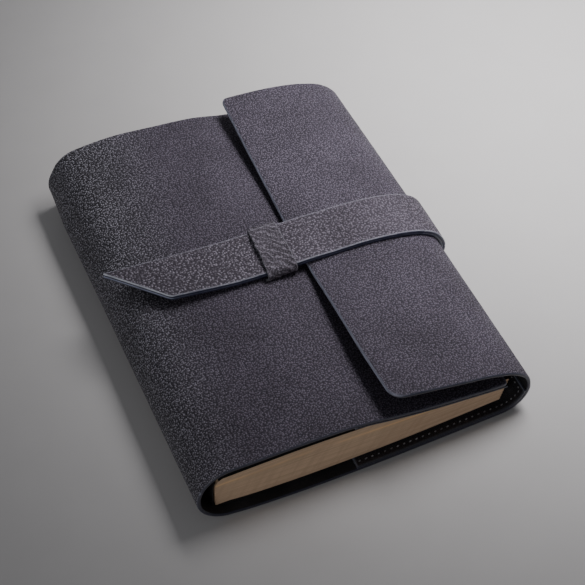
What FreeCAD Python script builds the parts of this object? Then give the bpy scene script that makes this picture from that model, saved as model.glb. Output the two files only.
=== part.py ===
"""Wrap-round leather notebook cover with an A5 notebook, closed and lying on its back panel.

X runs from the spine to the fore-edge, Y from the tail to the head, Z up from the table.
Outlines are drawn in the XZ plane, counter-clockwise as seen from the tail, so that the
inside of the cover is always on the left of the way they run. Depth is measured from the
outer face of the leather towards the inside.
"""
import FreeCAD, Part
import math
import os

from FreeCAD import Vector

# ---------------------------------------------------------------- driving dimensions, mm
page_w = 148.0            # A5 leaf
page_h = 210.0
section_count = 8         # sewn sections in the block
section_gap = 0.06
sewn_t = 19.8             # block thickness beside the spine
swell = 1.6               # extra height of the block a third of the way across
middle_squeeze = 2.0      # the strap presses the block this much beyond the middle
fore_squeeze = 4.6        # and this much at the fore-edge
fore_rise = 1.0           # the lowest leaf rises this much with the fold
block_lean = 4.0          # upper leaves reach this much further than the lowest one
round_back = 3.2          # the lowest leaf starts this much further in at the spine

hide_t = 2.0
pocket_t = 0.9
card_t = 0.7              # notebook's own card cover
card_gap = 0.2            # between the card and the leather on each side of it
seat_gap = 0.05           # between pieces that are sewn or glued together
overhang = 5.0            # leather beyond the leaves at the tail and the head
spine_room = 9.6          # outer face of the spine to the sewn edge of the leaves
fore_room = 9.7           # outer face of the fore-edge to the topmost leaf

crown_z = 34.8            # top of the spine and of the front panel beside it
droop_z = 29.8            # front panel where the flap's edge lies over it
fold_low_r = 15.0         # fore-edge fold, from the back panel to its outermost line
fold_high_r = 11.0        # and from there up to the flap
fold_turn = 45.0          # degrees from the outermost line to each bending line
hinge_out = 0.15          # bending lines lie this far outside the leather
hinge_gap = 0.1           # between stretches of the hide at a bending line

flap_edge_x = 94.0        # free edge of the flap
flap_corner_r = 6.0
flap_trim = 1.0           # its outlines are cut back this much, square and round the corners
flap_tail_z = 45.4        # the tail corner stands up,
flap_head_z = 39.8        # the head corner less so,
flap_press_z = 35.7       # and the strap holds the middle down
press_margin = 4.0        # pressed band reaches this far beyond each edge of the strap

pocket_mouth_x = 77.0     # straight open edge of both pockets
pocket_hem = 4.6          # sewn border on the other three sides
front_fore_gap = 3.0      # front panel ends this far short of the topmost leaf
front_stack = 4.0         # its outer face there, above the topmost leaf

strap_w = 28.0
strap_ply_t = 1.45
strap_gap = 0.4           # between the strap and the leather that it crosses
strap_root_turn = 50.0    # strap is sewn on from here, in degrees below the outermost line
strap_tip_x = 1.0         # longer corner of the tip
strap_tip_slant = 23.0    # shorter corner lies this much further in
strap_tip_r = 1.5
strap_tip_lift = 4.4      # tip stands this much above the keeper's stretch
strap_run_z = 39.2        # upper face of the strap in the keeper

keeper_x = 75.0           # spine-side edge of the keeper
keeper_w = 14.0
keeper_t = 1.5
keeper_gap = 0.3          # around the strap
keeper_r = 3.1            # rounding of its upper corners, outside
keeper_inner_r = 0.5      # rounding of its upper corners, inside
keeper_short = 0.2        # its legs end this far above the front panel's inner face
slit_gap = 0.1            # around the keeper's legs in the front panel

spine_strip_t = 0.7       # notebook's spine strip
strip_gap = 0.2
strip_low = 4.0           # it starts this far above the lowest leaf

arc_fit = 0.02            # smooth outlines are drawn as tangent arcs this close to them
past = 2.0                # cuts that open a face reach this far past it

# ---------------------------------------------------------------- sizes that follow
cover_h = page_h + 2 * overhang
middle_y = cover_h / 2
sewn_x = spine_room
fore_x = sewn_x + page_w
fold_x = fore_x + fore_room
spine_r = crown_z / 2
strap_t = 2 * strap_ply_t + seat_gap
centre_x = (fold_x + strap_gap + strap_t) / 2
spine_c = Vector(spine_r, 0, spine_r)
fold_low_c = Vector(fold_x - fold_low_r, 0, fold_low_r)
fold_high_c = Vector(fold_x - fold_high_r, 0, fold_low_r)
card_depth = hide_t + card_gap
pocket_depth = card_depth + card_t + card_gap
block_z = pocket_depth + pocket_t + card_gap


# ---------------------------------------------------------------- outlines
def polar(centre, radius, degrees):
    turn = math.radians(degrees)
    return centre + Vector(radius * math.cos(turn), 0, radius * math.sin(turn))


def straight(a, b):
    """A straight stretch of an outline, as a function from depth to edges."""
    inward = Vector(a.z - b.z, 0, b.x - a.x).normalize()
    return lambda depth: [Part.makeLine(a + inward * depth, b + inward * depth)]


def arc(centre, radius, start, end):
    """An arc of an outline, in degrees, as a function from depth to edges."""
    turns = (start, (start + end) / 2, end)
    return lambda depth: [bend([polar(centre, radius - depth, t) for t in turns])]


def bend(points):
    """Arc through three points, or a line where they are as good as straight."""
    first, middle, last = points
    if middle.distanceToLine(first, last - first) < arc_fit / 10:
        return Part.makeLine(first, last)
    return Part.Arc(first, middle, last).toShape()


def smooth(points, leaving=None, arriving=None):
    """A smooth curve through points, with its end directions where they matter."""
    directions = [leaving or Vector(1, 0, 0)] + [Vector(1, 0, 0)] * (len(points) - 2)
    directions.append(arriving or Vector(1, 0, 0))
    fixed = [leaving is not None] + [False] * (len(points) - 2) + [arriving is not None]
    curve = Part.BSplineCurve()
    curve.interpolate(Points=points, Tangents=directions, TangentFlags=fixed)
    return curve


def inward_of(curve, t):
    along = curve.tangent(t)[0]
    return Vector(-along.z, 0, along.x).normalize()


def point_in(curve, t, depth):
    return curve.value(t) + inward_of(curve, t) * depth


def spread(start, end, count):
    return [start + (end - start) * i / count for i in range(count + 1)]


def curved(curve, start=None, end=None):
    """A stretch of a smooth curve as tangent arcs, as a function from depth to edges."""
    stretch = curve.copy()
    if start is not None:
        stretch.segment(start, end)
    pieces = stretch.toBiArcs(arc_fit)

    def edges(depth):
        return [bend([point_in(piece, t, depth)
                      for t in spread(piece.FirstParameter, piece.LastParameter, 2)])
                for piece in pieces]

    return edges


def at_x(curve, x):
    """Parameter at which a curve that runs from high X to low X passes x."""
    low, high = curve.FirstParameter, curve.LastParameter
    for _ in range(40):
        middle = (low + high) / 2
        if curve.value(middle).x > x:
            low = middle
        else:
            high = middle
    return low


def first_point(edge):
    return edge.valueAt(edge.FirstParameter)


def last_point(edge):
    return edge.valueAt(edge.LastParameter)


def ring(outer, inner):
    """Closed wire around two runs of edges that go the same way."""
    ends = [Part.makeLine(first_point(outer[0]), first_point(inner[0])),
            Part.makeLine(last_point(outer[-1]), last_point(inner[-1]))]
    return Part.Wire(Part.__sortEdges__(outer + inner + ends))


def between(outer, inner, low_y, high_y):
    """Solid between two runs of edges, from low_y to high_y."""
    face = Part.Face(ring(outer, inner))
    face.translate(Vector(0, low_y, 0))
    return face.extrude(Vector(0, high_y - low_y, 0))


def layer(stretches, near, far, low_y=0.0, high_y=cover_h):
    """Solid between two depths of an outline, from low_y to high_y."""
    outer = [edge for stretch in stretches for edge in stretch(near)]
    inner = [edge for stretch in stretches for edge in stretch(far)]
    return between(outer, inner, low_y, high_y)


def prism(corners, low_z=-10.0, high_z=80.0):
    """Upright prism over corners given as (x, y)."""
    base = Part.makePolygon([Vector(x, y, low_z) for x, y in corners + corners[:1]])
    return Part.Face(base).extrude(Vector(0, 0, high_z - low_z))


def rounded(solid, radius, is_corner):
    """Rounds the upright edges whose place passes is_corner."""
    edges = [e for e in solid.Edges
             if e.BoundBox.XLength + e.BoundBox.YLength < 1e-6 and is_corner(e.CenterOfMass)]
    return solid.makeFillet(radius, edges)


# ---------------------------------------------------------------- the hide's outlines
front_end = Vector(fore_x - front_fore_gap, 0, block_z + sewn_t - fore_squeeze + front_stack)
front_curve = smooth(
    [front_end,
     Vector((front_end.x + flap_edge_x) / 2, 0, (front_end.z + droop_z) / 2 - 0.2),
     Vector(flap_edge_x + 5, 0, droop_z),
     Vector(flap_edge_x - 14, 0, crown_z - 1.2),
     Vector(flap_edge_x - 34, 0, crown_z + 0.1),
     Vector(spine_c.x, 0, crown_z)],
    arriving=Vector(-1, 0, 0))

# stretches of the front panel: hem of its pocket, rest of the pocket, past its mouth, and on
front_marks = [front_curve.FirstParameter,
               at_x(front_curve, front_end.x - pocket_hem),
               at_x(front_curve, pocket_mouth_x),
               at_x(front_curve, pocket_mouth_x - past),
               front_curve.LastParameter]
front_path = [curved(front_curve, a, b) for a, b in zip(front_marks, front_marks[1:])]

spine_high = polar(spine_c, spine_r + hinge_out, 180 - fold_turn)
spine_low = polar(spine_c, spine_r + hinge_out, 180 + fold_turn)
fold_low = polar(fold_low_c, fold_low_r + hinge_out, -fold_turn)
fold_high = polar(fold_high_c, fold_high_r + hinge_out, fold_turn)

spine_half_gap = math.degrees(hinge_gap / 2 / spine_r)
low_half_gap = math.degrees(hinge_gap / 2 / fold_low_r)
high_half_gap = math.degrees(hinge_gap / 2 / fold_high_r)
back_flat = straight(Vector(spine_c.x, 0, 0), Vector(fold_low_c.x, 0, 0))


def flap_curve(edge_z, belly):
    """Outline of the flap at one place along Y, from the upper bending line to its edge.

    It climbs in a straight line to edge_z, but for a belly that rounds off the fold.
    """
    start = polar(fold_high_c, fold_high_r, fold_turn + high_half_gap)
    shoulder_z = fold_low_r + fold_high_r + 5.4
    points = [start]
    for share, swelling in ((0.22, 0.0), (0.47, 1.0), (0.75, 0.5), (1.0, 0.0)):
        climb = (share - 0.22) / 0.78
        points.append(Vector(start.x + share * (flap_edge_x - start.x), 0,
                             shoulder_z + climb * (edge_z - shoulder_z) + swelling * belly))
    return smooth(points, leaving=polar(Vector(), 1, 90 + fold_turn))


tail_flap = flap_curve(flap_tail_z, 1.0)
pressed_flap = flap_curve(flap_press_z, 1.6)
head_flap = flap_curve(flap_head_z, 1.9)


# ---------------------------------------------------------------- the hide
def front_panel():
    crown = arc(spine_c, spine_r, 90, 180 - fold_turn - spine_half_gap)
    panel = layer(front_path + [crown], 0, hide_t)
    for y in keeper_leg_places():
        panel = panel.cut(keeper_slit(y))
    return panel


def spine():
    start = 180 - fold_turn + spine_half_gap
    return layer([arc(spine_c, spine_r, start, 360 - start)], 0, hide_t)


def back_panel():
    corner = arc(spine_c, spine_r, 180 + fold_turn + spine_half_gap, 270)
    rise = arc(fold_low_c, fold_low_r, -90, -fold_turn - low_half_gap)
    return layer([corner, back_flat, rise], 0, hide_t)


def fore_edge():
    lower = arc(fold_low_c, fold_low_r, -fold_turn + low_half_gap, 0)
    upper = arc(fold_high_c, fold_high_r, 0, fold_turn - high_half_gap)
    return layer([lower, upper], 0, hide_t)


def flap():
    """The strap presses a band across the middle, and both corners stand off."""
    band = strap_w / 2 + press_margin
    places = [(0, tail_flap), (middle_y - band, pressed_flap), (middle_y, pressed_flap),
              (middle_y + band, pressed_flap), (cover_h, head_flap)]
    wires = []
    for y, curve in places:
        turns = spread(curve.FirstParameter, curve.LastParameter, 8)
        inner = smooth([point_in(curve, t, hide_t) for t in turns])
        wire = ring([curve.toShape()], [inner.toShape()])
        wire.translate(Vector(0, y, 0))
        wires.append(wire)
    sheet = Part.makeLoft(wires, True, True)
    edge_x = flap_edge_x + flap_trim
    plan = prism([(edge_x, 0), (fold_x, 0), (fold_x, cover_h), (edge_x, cover_h)])
    plan = rounded(plan, flap_corner_r, lambda p: p.x < flap_edge_x + flap_corner_r)
    return sheet.common(plan)


# ---------------------------------------------------------------- pockets
def pocket(sheet_path, cavity_path):
    """A leather panel sewn down on three sides, with room for a card under it."""
    sheet = layer(sheet_path, hide_t + seat_gap, pocket_depth + pocket_t)
    room = layer(cavity_path, hide_t / 2, pocket_depth, pocket_hem,
                 cover_h - pocket_hem)
    return sheet.cut(room)


def front_pocket():
    return pocket(front_path[:2], front_path[1:3])


def back_pocket():
    mouth = Vector(pocket_mouth_x, 0, 0)
    fold_start = Vector(fold_low_c.x, 0, 0)
    rise_end = -fold_turn - low_half_gap
    hem_end = rise_end - math.degrees(pocket_hem / fold_low_r)
    sheet = [straight(mouth, fold_start), arc(fold_low_c, fold_low_r, -90, rise_end)]
    room = [straight(mouth - Vector(past, 0, 0), fold_start),
            arc(fold_low_c, fold_low_r, -90, hem_end)]
    return pocket(sheet, room)


# ---------------------------------------------------------------- strap and keeper
def strap_curve():
    """Upper face of the strap, from its sewn end round the fore-edge to the tip."""
    out = -(strap_gap + strap_t)
    lower = [polar(fold_low_c, fold_low_r - out, a) for a in spread(-strap_root_turn, 0, 3)]
    upper = [polar(fold_high_c, fold_high_r - out, a) for a in spread(0, fold_turn, 2)[1:]]
    first, last = pressed_flap.FirstParameter, pressed_flap.LastParameter
    across = [point_in(pressed_flap, t, out) for t in spread(first, last, 4)[1:-1]]
    run = [Vector(x, 0, strap_run_z)
           for x in (flap_edge_x + 6, keeper_x + keeper_w, keeper_x)]
    tip_run = run[-1].x - strap_tip_x
    tongue = [Vector(run[-1].x - share * tip_run, 0, strap_run_z + strap_tip_lift * share ** 1.6)
              for share in (0.34, 0.67, 1.0)]
    return smooth(lower + upper + across + run + tongue)


def strap_plan():
    """Outline seen from above: a slanting tip whose longer corner is on the head side."""
    low_y, high_y = middle_y - strap_w / 2, middle_y + strap_w / 2
    plan = prism([(strap_tip_x + strap_tip_slant, low_y), (2 * centre_x + 1, low_y),
                  (2 * centre_x + 1, high_y), (strap_tip_x, high_y)])
    return rounded(plan, strap_tip_r, lambda p: p.x < centre_x)


def strap_ply(near):
    ply = layer([curved(strap_curve())], near, near + strap_ply_t,
                middle_y - strap_w / 2 - 1, middle_y + strap_w / 2 + 1)
    return ply.common(strap_plan())


def strap_outer():
    return strap_ply(0)


def strap_lining():
    return strap_ply(strap_ply_t + seat_gap)


def keeper_leg_places():
    reach = strap_w / 2 + keeper_gap + keeper_t / 2
    return [middle_y - reach, middle_y + reach]


def keeper_slit(y):
    """Room for one leg of the keeper in the front panel."""
    corner = Vector(keeper_x - slit_gap, y - keeper_t / 2 - slit_gap, 0)
    return Part.makeBox(keeper_w + 2 * slit_gap, keeper_t + 2 * slit_gap, strap_run_z, corner)


def panel_inner_z():
    """Highest place of the front panel's inner face between the keeper's edges."""
    places = [at_x(front_curve, x) for x in (keeper_x, keeper_x + keeper_w)]
    return max(point_in(front_curve, t, hide_t).z for t in places)


def keeper():
    """A strip bent over the strap, with both ends let into slits in the front panel."""
    places = keeper_leg_places()
    low_y, high_y = places[0] - keeper_t / 2, places[1] + keeper_t / 2
    low_z = panel_inner_z() + keeper_short
    inner_top = strap_run_z + keeper_gap
    outer = Part.makeBox(keeper_w, high_y - low_y, inner_top + keeper_t - low_z,
                         Vector(keeper_x, low_y, low_z))
    inner = Part.makeBox(keeper_w, high_y - low_y - 2 * keeper_t, inner_top - low_z,
                         Vector(keeper_x, low_y + keeper_t, low_z))
    outer = outer.makeFillet(keeper_r, edges_along_x(outer, inner_top + keeper_t))
    inner = inner.makeFillet(keeper_inner_r, edges_along_x(inner, inner_top))
    return outer.cut(inner)


def edges_along_x(solid, z):
    return [e for e in solid.Edges
            if e.BoundBox.XLength > keeper_w / 2 and abs(e.CenterOfMass.z - z) < 1e-6]


# ---------------------------------------------------------------- notebook
def leaves_y():
    return overhang, overhang + page_h


def notebook_back_cover():
    """Card that lies on the back panel and rises a little with it at both ends."""
    start = 270 - math.degrees((spine_c.x - sewn_x) / (spine_r - card_depth))
    rise_end = -fold_turn - math.degrees((pocket_hem + 1.5) / fold_low_r)
    path = [arc(spine_c, spine_r, start, 270), back_flat,
            arc(fold_low_c, fold_low_r, -90, rise_end)]
    return layer(path, card_depth, card_depth + card_t, *leaves_y())


def leaf_line(share):
    """Line across the block at a share of its height, from the sewn edge outwards."""
    low_x = sewn_x + round_back * (1 - share) ** 4
    high_x = fore_x - block_lean * (1 - share)
    line = []
    for across, low_z, high_z in ((0.0, 0.0, 0.0), (0.3, 0.0, swell),
                                  (0.62, 0.0, -middle_squeeze), (1.0, fore_rise, -fore_squeeze)):
        z = block_z + low_z + share * (sewn_t + high_z - low_z)
        line.append(Vector(low_x + across * (high_x - low_x), 0, z))
    return line


def page_section(index):
    """One sewn section of leaves, tapering to the pressed fore-edge."""
    lift = Vector(0, 0, section_gap)
    under = curved(smooth([p + lift for p in leaf_line(index / section_count)]))
    over = curved(smooth(leaf_line((index + 1) / section_count)))
    return between(under(0), over(0), *leaves_y())


def notebook_spine():
    """Strip down the sewn edge, from one card to the other."""
    corner = Vector(sewn_x - strip_gap - spine_strip_t, overhang, block_z + strip_low)
    return Part.makeBox(spine_strip_t, page_h, sewn_t - strip_low, corner)


def notebook_front_cover():
    """Card that leaves the sewn edge and follows the front panel inside its pocket."""
    first = at_x(front_curve, front_end.x - pocket_hem - 1.5)
    last = at_x(front_curve, pocket_mouth_x + 4)
    held = [point_in(front_curve, t, card_depth) for t in spread(first, last, 8)]
    start = leaf_line(1.0)[0]
    lift = held[-1].z - start.z
    free = [Vector(sewn_x + 0.27 * page_w, 0, start.z + 0.62 * lift + 0.9),
            Vector(sewn_x + 0.1 * page_w, 0, start.z + 2.4 + card_t),
            Vector(sewn_x, 0, start.z + 0.4 + card_t)]
    return layer([curved(smooth(held + free))], 0, card_t, *leaves_y())


# ---------------------------------------------------------------- export
def nodes():
    solids = {
        "front_panel": front_panel(),
        "spine": spine(),
        "back_panel": back_panel(),
        "fore_edge": fore_edge(),
        "flap": flap(),
        "front_pocket": front_pocket(),
        "back_pocket": back_pocket(),
        "strap_outer": strap_outer(),
        "strap_lining": strap_lining(),
        "keeper": keeper(),
        "notebook_back_cover": notebook_back_cover(),
        "notebook_front_cover": notebook_front_cover(),
        "notebook_spine": notebook_spine(),
    }
    for index in range(section_count):
        solids[f"page_section_{index + 1}"] = page_section(index)
    return solids


def export():
    os.makedirs("parts", exist_ok=True)
    for name, solid in nodes().items():
        solid.translate(Vector(-centre_x, -middle_y, 0))
        solid.exportStep(f"parts/{name}.step")


export()
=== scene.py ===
"""A wrap-round leather notebook cover with its notebook, strapped shut on a pale table.

X runs from the spine to the fore-edge, Y from the tail to the head, Z up from the table.
Each piece of leather is cut flat, its edges are rounded and painted, and it is then bent to
its place: s is the distance along the flat piece, w the distance across it.
"""
import bmesh
import bpy
import math
from bisect import bisect
from functools import lru_cache
from mathutils import Matrix, Vector, noise
from mathutils.geometry import interpolate_bezier
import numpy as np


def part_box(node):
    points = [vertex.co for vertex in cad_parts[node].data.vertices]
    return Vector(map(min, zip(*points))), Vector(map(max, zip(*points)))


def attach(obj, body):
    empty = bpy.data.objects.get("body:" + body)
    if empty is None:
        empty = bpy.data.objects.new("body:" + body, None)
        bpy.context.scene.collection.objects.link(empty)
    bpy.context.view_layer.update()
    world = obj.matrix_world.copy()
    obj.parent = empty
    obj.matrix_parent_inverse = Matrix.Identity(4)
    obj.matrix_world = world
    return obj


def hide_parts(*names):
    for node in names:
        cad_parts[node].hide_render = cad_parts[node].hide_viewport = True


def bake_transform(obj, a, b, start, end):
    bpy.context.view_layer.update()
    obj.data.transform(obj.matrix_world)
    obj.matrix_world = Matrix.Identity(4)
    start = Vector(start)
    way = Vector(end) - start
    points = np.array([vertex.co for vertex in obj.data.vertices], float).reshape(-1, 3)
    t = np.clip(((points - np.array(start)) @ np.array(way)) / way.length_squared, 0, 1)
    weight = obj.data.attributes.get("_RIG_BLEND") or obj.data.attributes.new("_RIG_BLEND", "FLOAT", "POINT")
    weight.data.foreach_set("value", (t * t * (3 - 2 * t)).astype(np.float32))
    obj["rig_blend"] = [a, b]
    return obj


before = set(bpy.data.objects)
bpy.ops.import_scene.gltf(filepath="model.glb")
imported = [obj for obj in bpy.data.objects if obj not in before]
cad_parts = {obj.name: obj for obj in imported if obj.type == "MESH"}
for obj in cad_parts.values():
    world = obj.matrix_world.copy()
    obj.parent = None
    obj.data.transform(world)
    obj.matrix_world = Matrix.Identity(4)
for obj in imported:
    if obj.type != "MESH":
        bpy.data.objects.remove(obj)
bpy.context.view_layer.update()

# ---------- the hide
# One piece of 2 mm cowhide makes the front panel, spine, back panel, fore-edge and flap.
# Its grain is pebbled, charcoal with paler grey pebble tops and a few glints: partly a
# dry-brush finish, partly painted highlight. Its cut edges are rounded and painted navy, and
# paler along their upper corners and beside the flap's free end: partly burnished wear,
# partly painted highlight. It is made here in four lengths that meet where nothing bends.
mm = 0.001
hide_t = 2.0 * mm
spine_r = 17.4 * mm
fold_r = 15.0 * mm
spine_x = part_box("spine")[0].x
fold_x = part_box("fore_edge")[1].x
tail_y, head_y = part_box("back_panel")[0].y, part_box("back_panel")[1].y
front_end = Vector((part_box("front_panel")[1].x, 0, 23.4 * mm))
spine_centre = Vector((spine_x + spine_r, 0, spine_r))
fold_centre = Vector((fold_x - fold_r, 0, fold_r))
band_low, band_high = -18 * mm, 18 * mm      # the strap presses the flap down between these
fold_bottom = fold_centre - Vector((0, 0, fold_r))
fold_side = fold_centre + Vector((fold_r, 0, 0))
fold_top = fold_centre + Vector((4 * mm, 0, 11 * mm))
slack_most = 4.6 * mm          # the spine's slack would stand out this far at the head edge,
slack_held = 1.7 * mm          # less this much, where the edge itself holds the hide in
slack_turn = 115               # the slack has sunk below this many degrees up from the table
flap_wander = 0.65 * mm        # the flap's free edge strays this much along its length
corner_pull = 1.4 * mm         # and its tail corner is pulled back this much more
bow_most = 1.8 * mm            # the back panel's tail edge bows out this much
head_draw = 2.1 * mm           # the fold is drawn in this much at the head
hide_wave = 0.45 * mm          # the hide's face rises and falls this much
flap_dip = 0.9 * mm            # the flap's free edge turns down this much
sharp_angle = 48               # degrees past which a corner is left sharp


def smooth_line(points, leaving=None, arriving=None, steps=10):
    """Places close together on a smooth line through a few points."""
    spans = [(b - a).length for a, b in zip(points, points[1:])]
    slopes = [(b - a) / span for a, b, span in zip(points, points[1:], spans)]
    turns = [leaving or slopes[0]]
    for i in range(1, len(spans)):
        before, after = spans[i - 1], spans[i]
        turns.append((slopes[i - 1] * after + slopes[i] * before) / (before + after))
    turns.append(arriving or slopes[-1])
    line = []
    for i, span in enumerate(spans):
        start, end = points[i], points[i + 1]
        line += interpolate_bezier(start, start + turns[i] * span / 3,
                                   end - turns[i + 1] * span / 3, end, steps + 1)[:-1]
    return line + [points[-1]]


def arc_line(centre, radius, start, end, steps=30):
    """Places on an arc in the XZ plane, in degrees."""
    turns = [math.radians(start + (end - start) * i / steps) for i in range(steps + 1)]
    return [centre + radius * Vector((math.cos(t), 0, math.sin(t))) for t in turns]


def measured(line):
    """A line with how far along it each of its places is."""
    gone = [0.0]
    for a, b in zip(line, line[1:]):
        gone.append(gone[-1] + (b - a).length)
    return line, gone


def walk(line, share):
    """The place at a share of a measured line's length."""
    places, gone = line
    far = share * gone[-1]
    i = min(max(bisect(gone, far) - 1, 0), len(places) - 2)
    return places[i].lerp(places[i + 1], (far - gone[i]) / (gone[i + 1] - gone[i]))


def ease(share):
    share = min(max(share, 0.0), 1.0)
    return share * share * (3 - 2 * share)


def section(*places):
    """Points of a section through the cover, given in mm from the spine and the table."""
    return [Vector((spine_x + x * mm, 0, z * mm)) for x, z in places]


# the flap from the outermost line of the fold to its free edge, at three places along Y
flap_tail = section((167.3, 15), (165.6, 22.2), (159.6, 28.3), (148.7, 33.0), (131.5, 37.0),
                    (111.4, 41.2), (93.6, 44.6))
flap_middle = section((167.3, 15), (164.1, 22.8), (157.6, 28.0), (148.7, 31.4), (131.1, 34.4),
                      (111.5, 35.2), (94.6, 35.2))
flap_head = section((167.3, 15), (162.8, 23.6), (155.8, 29.0), (144.4, 33.2), (127.0, 36.9),
                    (110.0, 38.7), (96.2, 39.6))


def stand_off(y):
    """How far the flap has left its pressed middle for the tail or the head, from 0 to 1."""
    if y < band_low:
        return 1 - (1 - min((band_low - y) / (band_low - tail_y), 1.0)) ** 1.95
    if y > band_high:
        return min((y - band_high) / (head_y - band_high), 1.0) ** 1.25
    return 0.0


def slack_out(y):
    """How far the hide stands out past the spine, where it has gone slack."""
    share = (y - tail_y) / (head_y - tail_y)
    return slack_most * share - slack_held * ease((share - 0.84) / 0.16)


def edge_drift(y):
    """How far the flap's free edge strays from square towards the fore-edge."""
    at_corner = max((-75 * mm - y) / (35 * mm), 0.0) ** 1.3
    return flap_wander * min(max(y / (40 * mm), -0.5), 1.0) + corner_pull * at_corner


def tail_bow(x):
    """How far the back panel's tail edge and the lowest leaves bow out, cut by hand."""
    share = (x - spine_centre.x) / (fold_centre.x - spine_centre.x)
    return bow_most * math.sin(math.pi * min(max(share, 0.0), 1.0) ** 0.7)


@lru_cache(maxsize=None)
def hide_lines(y):
    """The hide's outer face at one place along the book, as five lines that run on."""
    head = ease((y - 15 * mm) / (head_y - 15 * mm))
    drawn_in = head_draw * max(y / head_y, 0)
    front = [front_end] + section((124.3, 26.4), (99, 29.8 - 1.8 * head),
                                  (80, 33.6 - 1.0 * head), (60, 34.9 - 0.1 * head),
                                  (36, 34.9 + 1.9 * head))
    crown = spine_centre + Vector((0, 0, spine_r + 0.9 * mm * head))
    front = smooth_line(front + [crown], arriving=Vector((-1, 0, 0.12 * -head)))
    spine = arc_line(spine_centre, spine_r, 90, 270, 60)
    for i, place in enumerate(spine):
        place += (place - spine_centre).normalized() * 0.9 * mm * head * (1 - i / 60)
        sagged = min((1 - i / 60) * 180 / slack_turn, 1.0)
        place.x -= slack_out(y) * math.sin(math.pi * sagged)
    back = [spine[-1], fold_bottom]
    fold = arc_line(fold_centre, fold_r, -90, 0)
    for i, place in enumerate(fold):
        place.x -= drawn_in * math.sin(math.pi / 2 * i / 30)
    far_flap = flap_tail if y < 0 else flap_head
    lift = stand_off(y)
    flap = [a.lerp(b, lift) for a, b in zip(flap_middle, far_flap)]
    flap = smooth_line(flap, leaving=Vector((0, 0, 1)))
    for place in flap:
        place.x -= drawn_in * ease((place.x - fold_x + 37 * mm) / (37 * mm))
        place.x += edge_drift(y) * ease((fold_x - 40 * mm - place.x) / (30 * mm))
    return [measured(line) for line in (front, spine, back, fold, flap)]


hide_marks = [0.0]
for places, gone in hide_lines(0.0):
    hide_marks.append(hide_marks[-1] + gone[-1])
middle_of_spine = (hide_marks[1] + hide_marks[2]) / 2
middle_of_back = (hide_marks[2] + hide_marks[3]) / 2


def on_hide(s, y):
    """Outer face of the bent hide. s starts at the front panel's free end."""
    i = min(max(bisect(hide_marks, s) - 1, 0), 4)
    share = (s - hide_marks[i]) / (hide_marks[i + 1] - hide_marks[i])
    place = walk(hide_lines(y)[i], share)
    slack = ease((place.z - 4 * mm) / (20 * mm))
    wave = noise.noise(Vector((s * 17, y * 14, 1.7))) + 0.5 * noise.noise(Vector((s, y, 9)) * 45)
    if i == 4:
        place.z -= flap_dip * max(1 - (hide_marks[5] - s) / (3 * mm), 0) ** 2
    bow = tail_bow(place.x) * max(y / tail_y, 0) ** 2 if i == 2 else 0
    return Vector((place.x, y - bow, place.z + hide_wave * slack * wave))


def s_at(x, stretch):
    """How far along the hide one of its stretches passes x at the middle of the book."""
    low, high = hide_marks[stretch], hide_marks[stretch + 1]
    rising = on_hide(high, 0.0).x > on_hide(low, 0.0).x
    for _ in range(30):
        middle = (low + high) / 2
        if (on_hide(middle, 0.0).x < x) == rising:
            low = middle
        else:
            high = middle
    return low


def thicken(bm, height):
    """Copies a flat sheet up or down by a height and closes the walls between."""
    slab = bmesh.ops.extrude_face_region(bm, geom=bm.faces[:])["geom"]
    bmesh.ops.translate(bm, vec=(0, 0, height),
                        verts=[v for v in slab if isinstance(v, bmesh.types.BMVert)])


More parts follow.
